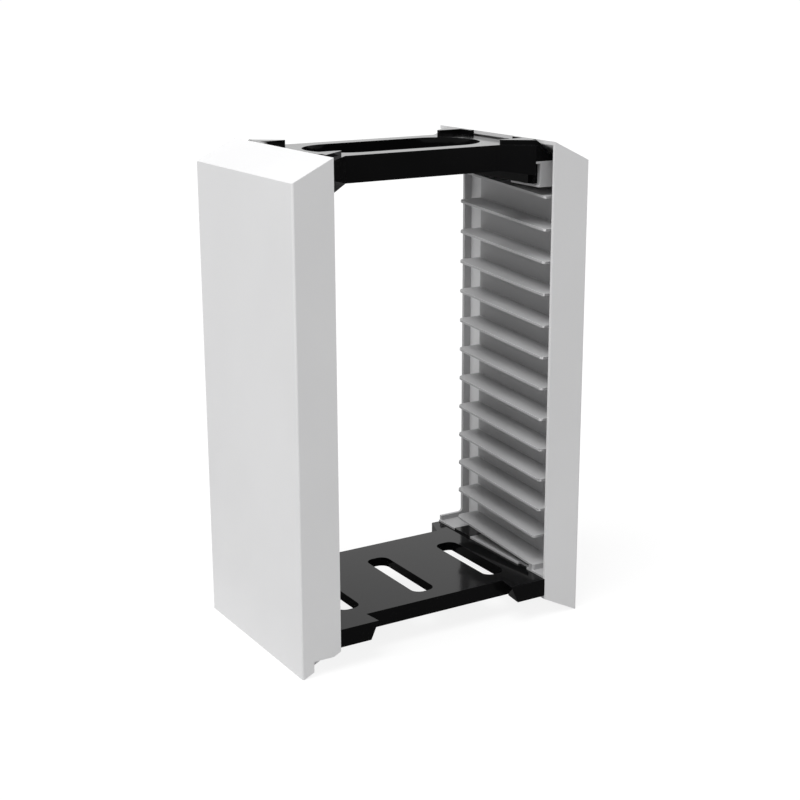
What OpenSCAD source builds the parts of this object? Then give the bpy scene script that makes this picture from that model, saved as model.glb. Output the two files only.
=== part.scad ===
// Stackable storage rack for twelve disc cases.
// Two side covers and two ribbed racks are tied together by a top frame and a base plate.
// Millimetres, +Z up, front at -Y. The origin is the centre of the footprint on the floor.

/* [Node] */
// Which sub-part to draw

/* [Covers] */
// Clear width between the pocket walls of the two racks
pocket_gap = 192; // [184:0.5:200]
// Depth of the covers, front to back
depth = 130.2; // [129:0.2:140]
// Width of one cover
cover_w = 26.7; // [26.4:0.1:32]
// Height of the covers at their inner edge
cover_h = 314.4; // [312:0.2:330]
// Drop of the sloping top and bottom faces towards the outside
slope_rise = 12.8; // [11:0.1:12.9]
// Wall thickness of the covers
cover_t = 2; // [1.6:0.1:2.4]
// Radius of the upright outer edges
cover_edge_r = 1.2; // [0.6:0.1:2]
// Width of the flat foot along the lower outer edge
foot_w = 1; // [0.8:0.1:2.5]
// Height of the relief in the lower front edge of the left cover
notch_h = 10.3; // [7:0.1:11]
// Width of the lip left outside the relief
notch_lip_w = 8; // [6:0.1:12]
// Depth of the relief, front to back
notch_d = 6; // [4:0.5:9]
// How far the rails inside a cover stand out from its wall
rail_w = 2.6; // [2:0.1:3.5]
// Thickness of the rails
rail_t = 1.5; // [1.2:0.1:2]
// Clearance between a rail and the web it holds
rail_clear = 0.2; // [0.1:0.05:0.3]
// Height at which the rails begin
rail_foot = 40; // [30:1:60]
// Distance from the top of the covers down to the end of the rails
rail_drop = 60; // [40:1:80]

/* [Racks] */
// How far the ribs stand out from the pocket wall, up to the inner edge of the cover
rib_w = 18.7; // [18:0.1:20]
// Number of support ribs on each rack
rib_count = 13; // [9:1:13]
// Gap between the top rib's front end and the beam above it
top_gap = 6.4; // [5:0.1:9]
// Height of the lowest support rib at its front end
first_rib_z = 31.4; // [30.8:0.1:32]
// Thickness of the ribs
rib_t = 1.5; // [1.2:0.1:2]
// Tilt of the ribs, front end low
rib_tilt = 4; // [1:0.1:4.4]
// Radius at the free front corner of each rib
rib_front_r = 2; // [1:0.1:4]
// Radius at the free rear corner of each rib
rib_back_r = 4.8; // [1:0.1:6]
// Setback of the front ends of the ribs from the front of the covers
rib_setback = 8.8; // [4:0.1:12]
// Further setback of the two lowest ribs
low_setback = 4.9; // [0:0.1:8]
// How far the wall that closes the lowest rib's front end runs back past the rounding
rib_close = 2.5; // [1.5:0.5:5]
// Distance from the front of the covers to the rear ends of the ribs
rib_end = 107.7; // [102:0.1:112]
// Thickness of the webs that reach the cover
web_t = 2; // [1.6:0.1:2.6]
// Distance from the front of the covers to the front web
front_web_y = 18; // [14:0.5:24]
// Distance from the front of the covers to the rear web
rear_web_y = 83; // [74:0.5:90]
// Thickness of the back frame
frame_t = 2.2; // [1.6:0.1:3]
// Inset of the back frame's free ends from the inner edge of the cover
frame_inset = 0.8; // [0.2:0.1:1.5]
// Step from the pocket wall out to the upright of the back frame
frame_step = 0.3; // [0:0.1:1.2]
// Radius in the corners of the back frame
frame_r = 2.6; // [1:0.1:4]
// Height of the back frame's top rail
rail_h = 10; // [6:0.5:12]
// Thickness of the pocket wall
rack_t = 1.8; // [1.4:0.1:2]
// Thickness of the foot ledge that lies on the base plate
ledge_t = 1.3; // [1:0.1:2]
// How far the foot ledge runs on past the pocket wall
ledge_over = 0.5; // [0.2:0.1:1]
// Height of the lip at the back of the foot ledge
lip_h = 3.5; // [2:0.1:4.5]
// Start of the small front notch in the ledge
front_notch_y = 20.7; // [19:0.1:24]
// Length of the small front notch
front_notch_l = 10.2; // [6:0.1:14]
// Depth of the small front notch
front_notch_d = 2.6; // [1:0.1:4]
// Start of the rear notch in the ledge
rear_notch_y = 89.2; // [84:0.1:94]
// Length of the rear notch
rear_notch_l = 20.3; // [12:0.1:22]
// Depth of the rear notch
rear_notch_d = 13.5; // [8:0.1:15]

/* [Rack beams] */
// Drop from the top of the covers to the top of the beam
beam_drop = 12.8; // [12.5:0.1:13.5]
// Clear height of the channel in the beam
beam_h = 13.4; // [12:0.1:14]
// Thickness of the beam's flanges
beam_t = 1.3; // [1:0.1:1.8]
// Step from the inner edge of the cover in to the beam's web
beam_step = 2.7; // [2:0.1:4]
// How far the upper lip stands out from the web
upper_lip_w = 3.3; // [2:0.1:4.5]
// How far the lower lip stands out from the web
lower_lip_w = 1; // [0.6:0.1:1.6]
// Thickness of the beam's upright plates
beam_wall_t = 1.6; // [1.2:0.1:2]
// Length of the seat with the lower lip at each end of the beam
seat_l = 30; // [20:0.5:40]
// How far the web stops short of the seats in between
web_rise = 2.4; // [1:0.1:4]

/* [Top frame] */
// Drop from the top of the covers to the frame's top face
bar_drop = 3; // [2.9:0.1:4]
// Further drop of the flared part's lower edge at its outer end
flare_drop = 2.1; // [0:0.1:4]
// Length of the flared part at each end, measured along X
flare_run = 16.4; // [12:0.1:18]
// Width of the straight part, front to back
bar_w = 75.6; // [70:0.2:80]
// Height of the frame's skirt
bar_h = 16.2; // [14:0.1:18]
// Thickness of the frame's skirt
bar_t = 2.1; // [1.6:0.1:2.6]
// Thickness of the frame's top
deck_t = 2.6; // [2:0.1:3.2]
// Distance from the outer end of the flared part to the opening
opening_end = 10.75; // [5:0.25:16]
// Width of the opening
opening_w = 52.6; // [40:0.2:58]
// Height of the stacking tabs
tab_h = 3; // [2:0.1:3]
// Radius of each tab's inner corner
tab_r = 1; // [0.5:0.1:1.4]
// Distance from the flared part's inner end out to each tab
tab_in = 1.69; // [0.5:0.01:6]
// Distance from the edge of the straight part in to the inner side of each tab
tab_set = 2.74; // [1:0.01:5]
// Angle at which the outer side of each tab widens towards the end of the frame
tab_angle = 38; // [20:1:42]
// Width of the wing that each tab has along the end of the frame
wing_w = 2.85; // [1.5:0.05:4]
// Length of the wing beyond the inner side of the tab
wing_l = 11; // [4:0.5:20]
// Length of the falling part at the outer end of each tab
tab_end_l = 9; // [2:0.5:12]
// Width of that part
tab_end_w = 3; // [1:0.1:5]
// Slope of that part
tab_end_angle = 48; // [40:1:60]
// Length of the level part of the arms beyond the flared part
arm_flat = 2; // [1:0.05:2.6]
// Slope of the arms' outer faces
arm_angle = 33; // [28:1:40]
// Inset of the cheek's ends from the ends of the flare
cheek_inset = 5.5; // [5:0.5:8]
// Inset of the tongue's ends from the ends of the channel
tongue_inset = 3; // [1:0.5:8]
// Height of the tongue's foot above the floor of the channel
foot_gap = 0.9; // [0.3:0.1:2]
// Clearance between the top frame, the base plate and the pieces beside them
clearance = 0.25; // [0.2:0.05:0.35]

/* [Base plate] */
// Height of the plate's top face
plate_z = 27.1; // [26.8:0.1:28]
// Height of the plate's skirt
plate_h = 10.7; // [9:0.1:11]
// Thickness of the plate's deck
plate_deck_t = 2.6; // [2:0.1:3.5]
// Thickness of the plate's skirt
plate_t = 2.1; // [1.6:0.1:2.6]
// Step from the front of the corner blocks back to the plate's edge
block_step = 12.8; // [8:0.1:15]
// Step from the back of the rear corner blocks in to the plate's edge
rear_step = 15.8; // [8:0.1:20]
// Distance from the inner edge of the cover to the inner side of each front block
block_in = 27; // [20:0.1:30]
// How far that side runs outwards from the front back to the step
block_skew = 1.6; // [0:0.1:4]
// Distance from the inner edge of the cover to the foot of each rear block's inner side
rear_in = 11.9; // [9:0.1:18]
// How far that side runs outwards from there to the back
rear_run = 5.7; // [2:0.1:6.5]
// Height of the corner blocks
block_h = 11.8; // [11.1:0.1:12]
// Run of the sloping inner side of each corner block
block_run = 5.3; // [3:0.1:8]
// Width of the slots
slot_w = 16; // [10:0.2:18]
// Length of the slots
slot_l = 66.4; // [50:0.2:70]
// Spacing of the slots
slot_pitch = 55.8; // [45:0.1:57]
// Shift of the slots towards the front
slot_shift = 6.9; // [0:0.1:8]
// Corner radius of the slots
slot_r = 6.2; // [2:0.1:7]
// Height of the collars round the slots
collar_h = 6.1; // [4:0.1:7]
// Height of the stiffening walls beside the outer slots
stiffener_h = 7.4; // [5:0.1:9]
// Thickness of the collars
collar_t = 1.6; // [1.2:0.1:2.2]

/* [Hidden] */
$fn = 48;
eps = 0.01;
front = -depth / 2;
back = depth / 2;
wallX = pocket_gap / 2;
inX = wallX - rib_w;
outX = inX + cover_w;
slope = slope_rise / (cover_w - foot_w);
topSlope = slope_rise / cover_w;
bottomT = cover_t * sqrt(1 + slope * slope);
topT = cover_t * sqrt(1 + topSlope * topSlope);
innerOutX = outX - cover_t;
wallEnd = front + rib_end;
frameX = wallX + frame_step;
frameInX = inX + frame_inset;
plateUnder = slope_rise + bottomT;
webs = [front + front_web_y, front + rear_web_y];
beamX = inX - beam_step;
beamTop = cover_h - beam_drop;
beamZ = beamTop - beam_t - beam_h;
beamReach = wallX + rack_t;
pitch = (beamZ - beam_t - top_gap - first_rib_z) / (rib_count - 1);
barZ = cover_h - bar_drop;
flareX = beamX - upper_lip_w - clearance;
barX = flareX - flare_run;
blockY = bar_w / 2 + flare_run;
armX = flareX + arm_flat;
armEnd = armX + (barZ - beamTop) / tan(arm_angle);
tongueZ = beamZ + foot_gap;
deckEnd = wallX + ledge_over;
rearY = back - rear_step;

// Height of the covers' bottom and top faces at x, measured on the right-hand side
function bottomAt(x) = (outX - foot_w - x) * slope;
function topAt(x) = cover_h - (x - inX) * topSlope;

module rightHalf(left) {
  mirror([left ? 1 : 0, 0, 0]) children();
}

// Extrusion along Y of an outline drawn in X and Z
module alongY(y0, y1) {
  translate([0, y1, 0]) rotate([90, 0, 0]) linear_extrude(height = y1 - y0) children();
}

module box(x0, x1, y0, y1, z0, z1) {
  translate([x0, y0, z0]) cube([x1 - x0, y1 - y0, z1 - z0]);
}

module coverProfile() {
  polygon([[inX, slope_rise], [outX - foot_w, 0], [outX, 0],
    [outX, cover_h - slope_rise], [inX, cover_h]]);
}

// Outline of the outer wall with the sloping top and bottom walls
module coverWalls() {
  polygon([[inX, slope_rise], [outX - foot_w, 0], [outX, 0], [outX, cover_h - slope_rise], [inX, cover_h],
    [inX, cover_h - topT], [innerOutX, topAt(innerOutX) - topT],
    [innerOutX, max(bottomAt(innerOutX), 0) + bottomT], [inX, slope_rise + bottomT]]);
}

// Box with rounded upright edges on its outer side
module roundedSide() {
  r = cover_edge_r;
  box(inX, outX - r, front, back, -1, cover_h + 1);
  box(inX, outX, front + r, back - r, -1, cover_h + 1);
  for (y = [front + r, back - r])
    translate([outX - r, y, -1]) cylinder(r = r, h = cover_h + 2);
}

module cover(left) {
  rightHalf(left) difference() {
    intersection() {
      roundedSide();
      union() {
        alongY(front, back) coverWalls();
        alongY(front, front + cover_t) coverProfile();
        // Pairs of rails that hold the webs of the rack
        for (y = webs)
          for (side = [-1, 1]) {
            y0 = y + side * (web_t / 2 + rail_clear + rail_t / 2);
            box(innerOutX - rail_w, innerOutX + eps, y0 - rail_t / 2, y0 + rail_t / 2, rail_foot, cover_h - rail_drop);
          }
      }
    }
    if (left)
      box(inX - 1, outX - notch_lip_w, front - 1, front + notch_d, -1, notch_h);
  }
}

// One support rib, both free corners rounded
module rib(len) {
  a = rib_front_r;
  b = rib_back_r;
  h = rib_t / 2;
  box(inX, wallX + eps, a, len - b, -h, h);
  box(inX + a, wallX + eps, 0, a + eps, -h, h);
  box(inX + b, wallX + eps, len - b - eps, len, -h, h);
  translate([inX + a, a, -h]) cylinder(r = a, h = rib_t);
  translate([inX + b, len - b, -h]) cylinder(r = b, h = rib_t);
}

// Wall under the front end of a rib, from the rib's middle down
module ribClosing(drop) {
  a = rib_front_r;
  box(inX, wallX + eps, a, a + rib_close, -drop, 0);
  box(inX + a, wallX + eps, 0, a + eps, -drop, 0);
  translate([inX + a, a, -drop]) cylinder(r = a, h = drop);
}

module ribStack() {
  for (i = [0 : rib_count - 1]) {
    extra = i < 2 ? low_setback : 0;
    len = (rib_end - rib_setback - extra) / cos(rib_tilt);
    z = first_rib_z + i * pitch + extra * tan(rib_tilt);
    translate([0, front + rib_setback + extra, z]) rotate([rib_tilt, 0, 0]) rib(len);
  }
  // The lowest rib is closed down to the ledge at its front end
  low = first_rib_z + low_setback * tan(rib_tilt);
  intersection() {
    translate([0, front + rib_setback + low_setback, low]) rotate([rib_tilt, 0, 0])
      ribClosing(low - plate_z);
    box(inX - 1, wallX + eps, front, back, plate_z + ledge_t - eps, low + rib_t);
  }
}

// Window of the back frame, open towards the middle of the rack
module frameWindow() {
  z0 = plate_z + ledge_t + lip_h;
  z1 = beamTop - rail_h;
  r = frame_r;
  translate([inX - 1, z0]) square([frameX - r - inX + 1, z1 - z0]);
  translate([inX - 1, z0 + r]) square([frameX - inX + 1, z1 - z0 - 2 * r]);
  for (z = [z0 + r, z1 - r])
    translate([frameX - r, z]) circle(r = r);
}

// Sill, upright and top rail in the back plane, following the cover's sloping ends
module backFrame() {
  xd = deckEnd;
  topX = inX + (cover_h - topT - clearance - beamTop) / topSlope;
  difference() {
    polygon([[frameInX, plate_z], [xd, plate_z], [xd, bottomAt(xd) + bottomT],
      [innerOutX, max(bottomAt(innerOutX), 0) + bottomT], [innerOutX, topAt(innerOutX) - topT - clearance],
      [topX, beamTop], [frameInX, beamTop]]);
    frameWindow();
  }
}

module rack(left) {
  legX = deckEnd + clearance;
  rightHalf(left) {
    difference() {
      union() {
        // Pocket wall and foot ledge
        box(wallX, wallX + rack_t, front + cover_t, wallEnd, plate_z, beamTop - beam_t);
        box(inX, deckEnd, front + cover_t, back - eps, plate_z, plate_z + ledge_t);
        // Webs that reach the cover, with a leg down to its sloping bottom
        for (y = webs) {
          box(wallX + rack_t - eps, innerOutX, y - web_t / 2, y + web_t / 2, plate_z, beamZ);
          alongY(y - web_t / 2, y + web_t / 2)
            polygon([[legX, plate_z + 1], [legX, bottomAt(legX) + bottomT],
              [innerOutX, max(bottomAt(innerOutX), 0) + bottomT], [innerOutX, plate_z + 1]]);
        }
      }
      // Notches in the free edge of the ledge
      box(inX - 1, inX + front_notch_d, front + front_notch_y, front + front_notch_y + front_notch_l,
        plate_z - 1, plate_z + ledge_t + 1);
      box(inX - 1, inX + rear_notch_d, front + rear_notch_y, front + rear_notch_y + rear_notch_l,
        plate_z - 1, plate_z + ledge_t + 1);
    }
    alongY(back - frame_t, back) backFrame();
    ribStack();
    beam();
  }
}

// Beam with a channel for the tongue of the top frame and a seat at each end
module beam() {
  box(beamX - upper_lip_w, beamReach, -blockY, back - frame_t + eps, beamTop - beam_t, beamTop);
  box(beamX, beamX + beam_wall_t, -blockY, blockY, beamZ + web_rise, beamTop - eps);
  for (side = [-1, 1])
    scale([1, side, 1]) {
      box(beamX - lower_lip_w, wallX + eps, -blockY, seat_l - blockY, beamZ - beam_t, beamZ);
      box(beamX, beamX + beam_wall_t, -blockY, seat_l - blockY, beamZ - eps, beamTop - eps);
      box(beamX, beamReach, -blockY, beam_wall_t - blockY, beamZ - eps, beamTop - eps);
    }
  for (y = webs)
    box(beamX, beamReach, y - web_t / 2, y + web_t / 2, beamZ + web_rise, beamTop - eps);
}

module frameOutline(grow) {
  x0 = barX - grow * 0.4142;
  y0 = bar_w / 2 + grow;
  y1 = y0 + (flareX - x0);
  polygon([[-x0, -y0], [x0, -y0], [flareX, -y1], [flareX, y1], [x0, y0], [-x0, y0], [-flareX, y1], [-flareX, -y1]]);
}

module stadium(l, w, z0, z1) {
  box(-(l - w) / 2, (l - w) / 2, -w / 2, w / 2, z0, z1);
  for (x = [-(l - w) / 2, (l - w) / 2])
    translate([x, 0, z0]) cylinder(r = w / 2, h = z1 - z0, $fn = 96);
}

// Part of the plan in which the frame's ends lie
module endPlan() {
  polygon([[barX - 1, -bar_w / 2 + 1], [flareX, -blockY], [outX, -blockY],
    [outX, blockY], [flareX, blockY], [barX - 1, bar_w / 2 - 1]]);
}

// Plan of a stacking tab, a wedge with a wing along the end of the frame
module tabPlan(y, end) {
  c = [barX + tab_in + tab_r, y - tab_r];
  p = [c[0] - tab_r * sin(tab_angle), c[1] - tab_r * cos(tab_angle)];
  translate(c) circle(r = tab_r);
  polygon([p, c, [c[0], y], [end - wing_w, y], [end - wing_w, y + wing_l], [end, y + wing_l],
    [end, p[1] - (end - p[0]) * tan(tab_angle)]]);
}

module tab() {
  end = inX - clearance;
  top = barZ + tab_h;
  root = barZ - 1;
  difference() {
    intersection() {
      linear_extrude(height = top) tabPlan(tab_set - bar_w / 2, end);
      alongY(-blockY, 0)
        polygon([[barX, root], [armX, root], [end, root - (end - armX) * tan(arm_angle)], [end, top], [barX, top]]);
    }
    // Falling outer end
    x = end - tab_end_w;
    drop = tab_h + 2;
    alongY(-blockY - 1, tab_end_l - blockY)
      polygon([[x, top], [x + drop / tan(tab_end_angle), top - drop],
        [x + drop / tan(tab_end_angle), top + 1], [x, top + 1]]);
  }
}

module frameSide() {
  // Arm over the beam, flush with the flare at its ends
  intersection() {
    alongY(-blockY, blockY)
      polygon([[barX, beamTop], [armEnd, beamTop], [armX, barZ], [barX, barZ]]);
    linear_extrude(height = cover_h) endPlan();
    translate([0, 0, beamTop]) linear_extrude(height = barZ - beamTop) difference() {
      endPlan();
      translate([flareX - bar_t - blockY, -blockY + bar_t]) square([blockY, 2 * (blockY - bar_t)]);
    }
  }
  // Cheek and tongue that sit in the channel of the beam
  box(flareX - bar_t, flareX, cheek_inset - blockY, blockY - cheek_inset, tongueZ, beamTop + eps);
  box(flareX - eps, beamX - clearance, -blockY + tongue_inset, blockY - tongue_inset,
    tongueZ, beamTop - beam_t - clearance);
  for (side = [-1, 1])
    scale([1, side, 1]) tab();
}

// Side view of the frame's skirt, its lower edge falling along the flared parts
module skirtProfile() {
  z0 = barZ - bar_h;
  polygon([[-flareX, z0 - flare_drop], [-barX, z0], [barX, z0], [flareX, z0 - flare_drop],
    [flareX, barZ], [-flareX, barZ]]);
}

module topFrame() {
  l = 2 * (flareX - opening_end);
  low = barZ - bar_h - flare_drop;
  difference() {
    union() {
      intersection() {
        alongY(-blockY, blockY) skirtProfile();
        difference() {
          translate([0, 0, low]) linear_extrude(height = barZ - low) frameOutline(0);
          translate([0, 0, low - 1]) linear_extrude(height = barZ - low + 1 - deck_t) frameOutline(-bar_t);
        }
      }
      stadium(l + 2 * bar_t, opening_w + 2 * bar_t, barZ - bar_h, barZ);
      for (left = [false, true])
        rightHalf(left) frameSide();
    }
    stadium(l, opening_w, barZ - bar_h - 1, barZ + 1);
  }
}

module slot(x, grow, z0, z1) {
  w = slot_w / 2 + grow;
  l = slot_l / 2 + grow;
  r = min(slot_r, slot_w / 2 - 0.2) + grow;
  y = -slot_shift;
  box(x - w, x + w, y - l + r, y + l - r, z0, z1);
  box(x - w + r, x + w - r, y - l, y + l, z0, z1);
  for (cx = [x - w + r, x + w - r], cy = [y - l + r, y + l - r])
    translate([cx, cy, z0]) cylinder(r = r, h = z1 - z0);
}

// Plan of a rear corner block, drawn in by a wall thickness for its hollow
module rearPlan(wall) {
  x0 = inX - rear_in + wall;
  x1 = inX - clearance - wall;
  polygon([[x0 - rear_run / rear_step, rearY - 1], [x0 + rear_run, back - wall], [x1, back - wall], [x1, rearY - 1]]);
}

// Front corner block from its skewed, sloping inner side to a thickness t
module frontBlock(t) {
  x0 = inX - block_in;
  intersection() {
    translate([x0, front, 0]) rotate([0, 0, -atan(block_skew / block_step)]) translate([-x0, -front, 0])
      alongY(front - block_step, front + 2 * block_step)
        polygon([[x0, plate_z], [x0 + block_run, plate_z - block_h],
          [x0 + block_run + t, plate_z - block_h], [x0 + t, plate_z]]);
    box(x0 - 1, inX - clearance, front, front + block_step + eps, plate_z - block_h, plate_z);
  }
}

// End of the plate with its two corner blocks
module plateEnd() {
  x0 = inX - block_in;
  xs = x0 + block_skew;
  xw = slot_pitch + slot_w / 2;
  xe = inX - clearance;
  ye = front + cover_t + clearance;
  difference() {
    union() {
      frontBlock(block_in);
      alongY(front + block_step, rearY)
        polygon([[xs, plate_z], [xs + block_run, plate_z - block_h], [xe, plate_z - block_h], [xe, plate_z]]);
      translate([0, 0, plate_z - block_h]) linear_extrude(height = block_h) rearPlan(0);
      box(xe - 1, deckEnd, ye, back, plateUnder, plate_z);
    }
    alongY(front + plate_t, rearY - plate_t)
      polygon([[x0 - 1, plate_z - block_h - 1], [xe - plate_t, plate_z - block_h - 1],
        [xe - plate_t, plate_z - plate_deck_t], [x0 - 1, plate_z - plate_deck_t]]);
    translate([0, 0, plate_z - block_h - 1]) linear_extrude(height = block_h + 1 - plate_deck_t)
      intersection() {
        rearPlan(plate_t);
        translate([0, rearY]) square([outX, rear_step]);
      }
    box(xe, deckEnd - plate_t, ye + plate_t, back - plate_t, plateUnder - 1, plate_z - plate_deck_t);
  }
  frontBlock(plate_t);
  // Stiffening wall beside the outer slot
  box(xw, xw + collar_t, front + block_step + plate_t - eps, rearY - plate_t + eps,
    plate_z - stiffener_h, plate_z - 1);
  // Lug that fills the rear notch of the rack's ledge
  y0 = front + rear_notch_y + clearance;
  box(inX, inX + rear_notch_d - clearance, y0, y0 + rear_notch_l - 2 * clearance, plate_z - 1, plate_z + ledge_t);
}

module basePlate() {
  y0 = front + block_step;
  x1 = inX - block_in + block_run + 1;
  difference() {
    union() {
      difference() {
        box(-x1, x1, y0, rearY, plate_z - plate_h, plate_z);
        box(-x1 - 1, x1 + 1, y0 + plate_t, rearY - plate_t, plate_z - plate_h - 1, plate_z - plate_deck_t);
      }
      for (left = [false, true])
        rightHalf(left) plateEnd();
      for (x = [-slot_pitch, 0, slot_pitch])
        slot(x, collar_t, plate_z - collar_h, plate_z);
    }
    for (x = [-slot_pitch, 0, slot_pitch])
      slot(x, 0, plate_z - block_h, plate_z + 1);
  }
}

module left_cover() {
  color([0.93, 0.93, 0.93]) cover(true);
}

module right_cover() {
  color([0.93, 0.93, 0.93]) cover(false);
}

module left_rack() {
  color([0.6, 0.6, 0.61]) rack(true);
}

module right_rack() {
  color([0.6, 0.6, 0.61]) rack(false);
}

module top_frame() {
  color([0.05, 0.05, 0.05]) topFrame();
}

module base_plate() {
  color([0.05, 0.05, 0.05]) basePlate();
}

left_cover();
right_cover();
left_rack();
right_rack();
top_frame();
base_plate();
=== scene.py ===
import math

import bpy
from mathutils import Euler, Matrix, Vector

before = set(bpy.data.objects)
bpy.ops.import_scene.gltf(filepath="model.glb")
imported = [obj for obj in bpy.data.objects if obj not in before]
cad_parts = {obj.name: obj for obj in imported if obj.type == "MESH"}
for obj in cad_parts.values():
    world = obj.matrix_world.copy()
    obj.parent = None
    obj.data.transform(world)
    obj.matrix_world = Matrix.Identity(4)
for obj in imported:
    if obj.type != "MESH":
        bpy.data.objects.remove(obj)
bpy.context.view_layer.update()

scene = bpy.context.scene
mm = 0.001  # the CAD's unit, in metres


def addNode(tree, kind, **sockets):
    # A socket's name has underscores for its spaces
    node = tree.nodes.new(kind)
    for name, value in sockets.items():
        node.inputs[name.replace("_", " ")].default_value = value
    return node


def newMaterial(name):
    material = bpy.data.materials.new(name)
    material.use_nodes = True
    material.node_tree.nodes.clear()
    return material, material.node_tree


def wire(tree, *pairs):
    for outSocket, inSocket in pairs:
        tree.links.new(outSocket, inSocket)


def opaque(color):
    return (*color, 1)


def remap(tree, socket, low, high, start=0.3, stop=0.7):
    # A value between start and stop, as noise mostly gives, becomes one between low and high
    node = addNode(tree, "ShaderNodeMapRange", From_Min=start, From_Max=stop, To_Min=low, To_Max=high)
    wire(tree, (socket, node.inputs["Value"]))
    return node.outputs["Result"]


def calculate(tree, operation, first, second):
    node = addNode(tree, "ShaderNodeMath")
    node.operation = operation
    wire(tree, (first, node.inputs[0]), (second, node.inputs[1]))
    return node.outputs["Value"]


def scaled(tree, socket, factor):
    node = addNode(tree, "ShaderNodeMath")
    node.operation = "MULTIPLY"
    node.inputs[1].default_value = factor
    wire(tree, (socket, node.inputs[0]))
    return node.outputs["Value"]


def mixedColor(tree, factor):
    node = addNode(tree, "ShaderNodeMix")
    node.data_type = "RGBA"
    wire(tree, (factor, node.inputs["Factor"]))
    return node


whiteCover = {
    "color": (0.775, 0.775, 0.78),
    # lighter colour painted along edges and corners as a highlight, for the light that rounded edges catch
    "edgeHighlightColor": (0.88, 0.88, 0.885),
    "cloud": 0.018,  # how much the colour drifts over a hand's width
    "roughness": (0.40, 0.50),
    "grainSize": 0.0007,  # metres
    "grainDepth": 0.000012,
    "edgeRadius": 0.0006,
    "ior": 1.46,
    "facing": 1.0,  # how much of its reflection a face keeps when seen square on
}

greyRack = {
    "color": (0.45, 0.45, 0.455),
    # lighter colour painted along edges and corners as a highlight, for the light that rounded edges catch
    "edgeHighlightColor": (0.84, 0.84, 0.845),
    "cloud": 0.05,
    "roughness": (0.38, 0.52),
    "grainSize": 0.0006,
    "grainDepth": 0.000012,
    "edgeRadius": 0.0005,
    "ior": 1.46,
    "facing": 1.0,
}

blackGloss = {
    "color": (0.0035, 0.0035, 0.0037),
    # lighter colour painted along edges and corners as a highlight, for the light that rounded edges catch
    "edgeHighlightColor": (0.012, 0.012, 0.0125),
    "cloud": 0.25,
    "roughness": (0.07, 0.13),
    "grainSize": 0.004,
    "grainDepth": 0.000006,
    "edgeRadius": 0.0005,
    "ior": 1.26,
    "facing": 0.35,
}

surface = {
    "cloudScale": 9.0,  # slow drift of the colour
    "smearScale": 38.0,  # uneven polish, and patchiness of the painted highlight along the edges
    "grainStrength": 0.6,
    "edgeSamples": 6,
    "edgeReach": 0.25,  # how far a normal turns before an edge gets the full painted highlight
    "leastEdgeHighlight": 0.55,
}


def edgeMask(tree, radius):
    # 1 where the rounded normal leaves the flat one, so along edges and corners, where the painted highlight
    # goes
    bevel = addNode(tree, "ShaderNodeBevel", Radius=radius)
    bevel.samples = surface["edgeSamples"]
    geometry = addNode(tree, "ShaderNodeNewGeometry")
    dot = addNode(tree, "ShaderNodeVectorMath")
    dot.operation = "DOT_PRODUCT"
    wire(tree, (bevel.outputs["Normal"], dot.inputs[0]), (geometry.outputs["Normal"], dot.inputs[1]))
    return remap(tree, dot.outputs["Value"], 1.0, 0.0, 1.0 - surface["edgeReach"], 1.0)


def mouldedPlastic(name, look):
    material, tree = newMaterial(name)
    place = addNode(tree, "ShaderNodeTexCoord").outputs["Object"]
    cloud = addNode(tree, "ShaderNodeTexNoise", Scale=surface["cloudScale"], Detail=3.0, Roughness=0.5)
    smear = addNode(tree, "ShaderNodeTexNoise", Scale=surface["smearScale"], Detail=4.0, Roughness=0.6)
    grain = addNode(tree, "ShaderNodeTexNoise", Scale=1.0 / look["grainSize"], Detail=2.0, Roughness=0.5)
    for noise in (cloud, smear, grain):
        wire(tree, (place, noise.inputs["Vector"]))

    color = Vector(look["color"])
    drift = mixedColor(tree, remap(tree, cloud.outputs["Fac"], 0, 1))
    drift.inputs["A"].default_value = opaque(color * (1 - look["cloud"]))
    drift.inputs["B"].default_value = opaque(color * (1 + look["cloud"]))
    # Edges and corners are lightened towards the edge colour: a painted highlight for the light that rounded
    # edges catch, made patchy by the smear noise
    highlightPatches = remap(tree, smear.outputs["Fac"], surface["leastEdgeHighlight"], 1)
    edgeHighlighted = mixedColor(tree, calculate(tree, "MULTIPLY", edgeMask(tree, look["edgeRadius"]), highlightPatches))
    edgeHighlighted.inputs["B"].default_value = opaque(look["edgeHighlightColor"])

    bump = addNode(tree, "ShaderNodeBump", Strength=surface["grainStrength"], Distance=look["grainDepth"])
    shader = addNode(tree, "ShaderNodeBsdfPrincipled", IOR=look["ior"])
    shader.inputs["Specular Tint"].default_value = opaque([look["facing"]] * 3)
    output = addNode(tree, "ShaderNodeOutputMaterial")
    wire(tree, (drift.outputs["Result"], edgeHighlighted.inputs["A"]),
         (grain.outputs["Fac"], bump.inputs["Height"]),
         (edgeHighlighted.outputs["Result"], shader.inputs["Base Color"]),
         (remap(tree, smear.outputs["Fac"], *look["roughness"]), shader.inputs["Roughness"]),
         (bump.outputs["Normal"], shader.inputs["Normal"]),
         (shader.outputs["BSDF"], output.inputs["Surface"]))
    return material


edgeRounding = {
    "left_cover": 0.35,  # millimetres
    "right_cover": 0.35,
    "left_rack": 0.3,
    "right_rack": 0.3,
    "top_frame": 0.45,
    "base_plate": 0.45,
    "segments": 3,
    "sharpFrom": 35,  # degrees between faces, from which an edge is rounded
    "weldWithin": 0.002,
}


def roundEdges(moulding, radius):
    weld = moulding.modifiers.new("weld", "WELD")
    weld.merge_threshold = edgeRounding["weldWithin"] * mm
    bevel = moulding.modifiers.new("moulded edges", "BEVEL")
    bevel.width = radius * mm
    bevel.segments = edgeRounding["segments"]
    bevel.limit_method = "ANGLE"
    bevel.angle_limit = math.radians(edgeRounding["sharpFrom"])
    bevel.use_clamp_overlap = True
    bevel.harden_normals = False


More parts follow.
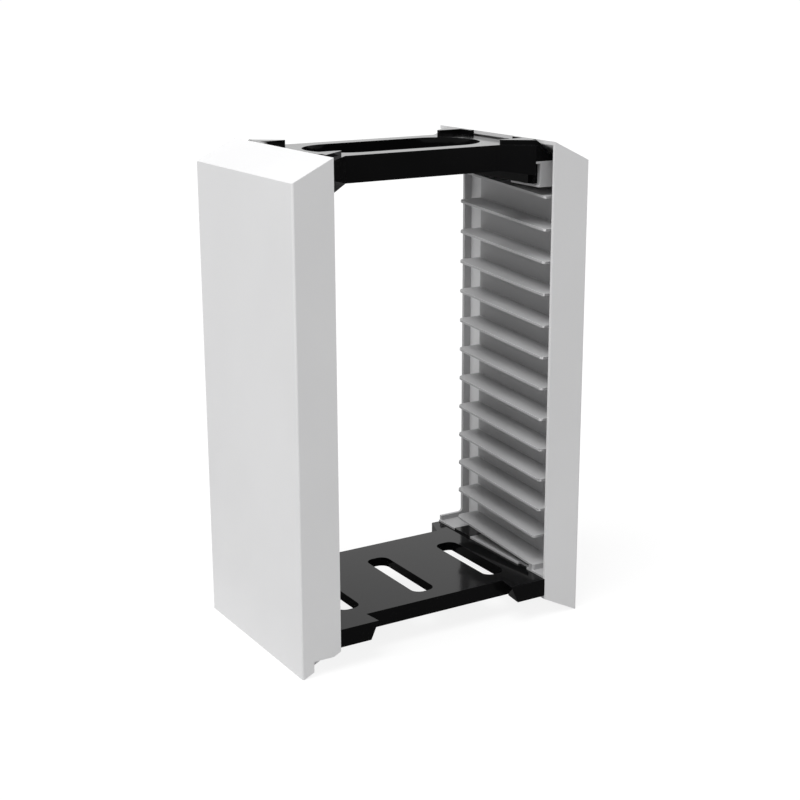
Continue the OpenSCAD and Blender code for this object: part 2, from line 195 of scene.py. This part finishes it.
def dress(names, material):
    for name in names:
        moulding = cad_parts[name]
        for slot in moulding.material_slots:
            slot.material = material
        roundEdges(moulding, edgeRounding[name])


print("mouldings: covers, racks, top frame, base plate")
dress(("left_cover", "right_cover"), mouldedPlastic("satin white plastic", whiteCover))
dress(("left_rack", "right_rack"), mouldedPlastic("satin grey plastic", greyRack))
dress(("top_frame", "base_plate"), mouldedPlastic("polished black plastic", blackGloss))

studio = {
    "skyLight": 0.40,
    "sunLight": 2.72,
    "sunDirection": (-0.446, -0.146, 0.883),  # from the object towards the lamp
    "sunAngle": 42,  # degrees, wide for soft shadows
    "backdrop": 1.02,
    "floorSize": 6.0,  # metres
    "floorColor": (0.60, 0.60, 0.60),  # the floor as it throws light on the object
    "seenColor": (0.86, 0.86, 0.86),  # its own colour where it is looked at
    "mirroredColor": (0.22, 0.22, 0.22),  # and where a glossy surface mirrors it
    "floorGlow": 0.82,  # how far the floor is lifted to white where it is looked at
    "mirroredGlow": 0.06,  # the share of that lift in a mirrored floor
    "glowStrength": 1.06,
}


def seenDirectly(tree, glossShare=1.0):
    # 1 for camera and transmission rays, a share for glossy ones, 0 for the light that reaches surfaces
    path = addNode(tree, "ShaderNodeLightPath")
    straight = calculate(tree, "MAXIMUM", path.outputs["Is Camera Ray"], path.outputs["Is Transmission Ray"])
    return calculate(tree, "MAXIMUM", straight, scaled(tree, path.outputs["Is Glossy Ray"], glossShare))


def makeWorld():
    world = bpy.data.worlds.new("studio")
    scene.world = world
    world.use_nodes = True
    tree = world.node_tree
    tree.nodes.clear()
    white = opaque((1, 1, 1))
    light = addNode(tree, "ShaderNodeBackground", Color=white, Strength=studio["skyLight"])
    seen = addNode(tree, "ShaderNodeBackground", Color=white, Strength=studio["backdrop"])
    mix = addNode(tree, "ShaderNodeMixShader")
    output = addNode(tree, "ShaderNodeOutputWorld")
    wire(tree, (seenDirectly(tree), mix.inputs["Fac"]), (light.outputs[0], mix.inputs[1]),
         (seen.outputs[0], mix.inputs[2]), (mix.outputs[0], output.inputs["Surface"]))


def makeSun():
    data = bpy.data.lights.new("key", "SUN")
    data.energy = studio["sunLight"]
    data.angle = math.radians(studio["sunAngle"])
    sun = bpy.data.objects.new("key", data)
    scene.collection.objects.link(sun)
    sun.rotation_euler = Vector(studio["sunDirection"]).to_track_quat("Z", "Y").to_euler()


def floorMaterial():
    material, tree = newMaterial("pale floor")
    mirrored = addNode(tree, "ShaderNodeLightPath").outputs["Is Glossy Ray"]
    looked = mixedColor(tree, seenDirectly(tree, 0))
    looked.inputs["A"].default_value = opaque(studio["floorColor"])
    looked.inputs["B"].default_value = opaque(studio["seenColor"])
    tone = mixedColor(tree, mirrored)
    tone.inputs["B"].default_value = opaque(studio["mirroredColor"])
    matte = addNode(tree, "ShaderNodeBsdfDiffuse")
    glow = addNode(tree, "ShaderNodeEmission", Color=opaque((1, 1, 1)), Strength=studio["glowStrength"])
    lift = scaled(tree, seenDirectly(tree, studio["mirroredGlow"]), studio["floorGlow"])
    mix = addNode(tree, "ShaderNodeMixShader")
    output = addNode(tree, "ShaderNodeOutputMaterial")
    wire(tree, (looked.outputs["Result"], tone.inputs["A"]), (tone.outputs["Result"], matte.inputs["Color"]),
         (lift, mix.inputs["Fac"]), (matte.outputs[0], mix.inputs[1]), (glow.outputs[0], mix.inputs[2]),
         (mix.outputs[0], output.inputs["Surface"]))
    return material


def makeFloor():
    half = studio["floorSize"] / 2
    corners = [(-half, -half, 0), (half, -half, 0), (half, half, 0), (-half, half, 0)]
    mesh = bpy.data.meshes.new("floor")
    mesh.from_pydata(corners, [], [(0, 1, 2, 3)])
    mesh.materials.append(floorMaterial())
    floor = bpy.data.objects.new("floor", mesh)
    scene.collection.objects.link(floor)


print("studio: world, key light, floor")
makeWorld()
makeSun()
makeFloor()

viewpoint = {
    "place": (-487.7, -816.0, 412.3),  # millimetres in the CAD's frame
    "turn": 31.12,  # degrees from +Y towards +X
    "down": 15.63,
    "roll": -0.21,
    "lens": 68.16,  # millimetres
    "sensor": 36,
    "nearest": 0.05,  # metres
}


def makeCamera():
    data = bpy.data.cameras.new("photo view")
    data.lens = viewpoint["lens"]
    data.sensor_width = viewpoint["sensor"]
    data.clip_start = viewpoint["nearest"]
    data.dof.use_dof = False
    camera = bpy.data.objects.new("photo view", data)
    scene.collection.objects.link(camera)
    look = Euler((math.radians(90 - viewpoint["down"]), 0, -math.radians(viewpoint["turn"]))).to_matrix()
    look = look @ Matrix.Rotation(math.radians(viewpoint["roll"]), 3, "Z")
    camera.matrix_world = Matrix.Translation(Vector(viewpoint["place"]) * mm) @ look.to_4x4()
    scene.camera = camera


print("camera")
makeCamera()
scene.view_settings.view_transform = "Standard"
